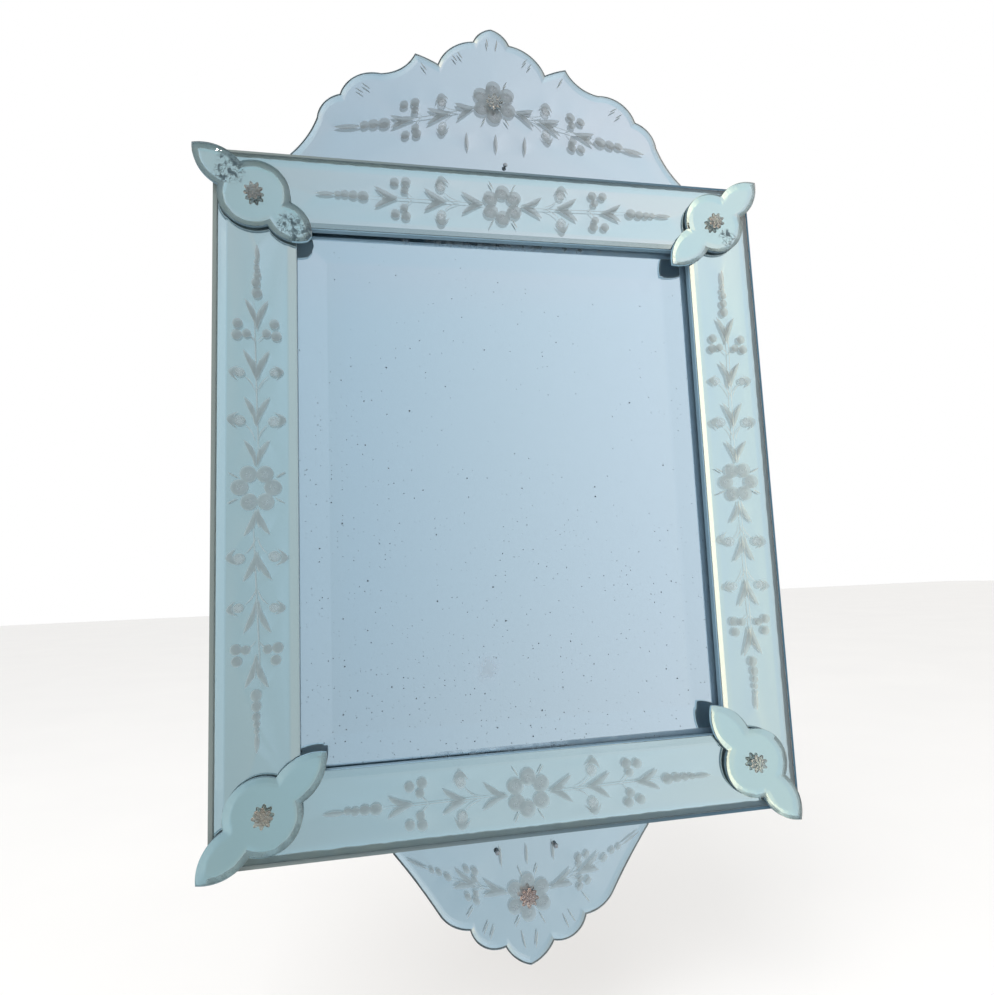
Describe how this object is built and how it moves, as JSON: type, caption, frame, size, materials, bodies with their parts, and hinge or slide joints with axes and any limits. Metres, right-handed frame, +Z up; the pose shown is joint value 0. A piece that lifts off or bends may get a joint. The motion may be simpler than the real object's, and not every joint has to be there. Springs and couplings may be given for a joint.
{
  "type": "wall mirror",
  "caption": "Wall mirror with a bevelled centre plate, mitred engraved border strips, a scalloped crest and pendant, and leaf-shaped corner medallions with small flower rosettes.",
  "frame": {"origin": "the point that it hangs from: the middle of the frame's width on the board's back, 200 mm above the middle of the frame", "axes": "+Z up the wall, +Y into the wall, so the mirror faces -Y, +X to the viewer's right"},
  "size_m": [0.4666, 0.0337, 0.7565],
  "materials": {
    "centre_glass": "silvered plate glass with a wide bevel and small spots of foxing",
    "strip_glass": "silvered glass strip with bevelled long edges and grey wheel-cut flowers",
    "scalloped_glass": "silvered glass plate with a bevelled scalloped edge and grey wheel-cut flowers",
    "medallion_glass": "silvered glass with a nibbled bevel, scratches and worn silvering",
    "rosette_glass": "pressed glass flower head, dull and brown-grey with small bright glints",
    "pin_metal": "dark steel tack head",
    "rail_wood": "wood painted a dark blue grey, worn along its edges",
    "board_wood": "bare aged wood"
  },
  "bodies": {
    "root": {"back_board": "board_wood", "centre_mirror": "centre_glass", "crest_plate": "scalloped_glass", "pendant_plate": "scalloped_glass", "crest_pin": "pin_metal", "pendant_pin_left": "pin_metal", "pendant_pin_right": "pin_metal", "rosette_crest": "rosette_glass", "rosette_pendant": "rosette_glass", "rail_top": "rail_wood", "rail_left": "rail_wood", "rail_bottom": "rail_wood", "rail_right": "rail_wood", "strip_top": "strip_glass", "strip_left": "strip_glass", "strip_bottom": "strip_glass", "strip_right": "strip_glass", "medallion_top_left": "medallion_glass", "medallion_top_right": "medallion_glass", "medallion_bottom_left": "medallion_glass", "medallion_bottom_right": "medallion_glass", "rosette_top_left": "rosette_glass", "rosette_top_right": "rosette_glass", "rosette_bottom_left": "rosette_glass", "rosette_bottom_right": "rosette_glass"}
  },
  "joints": []
}
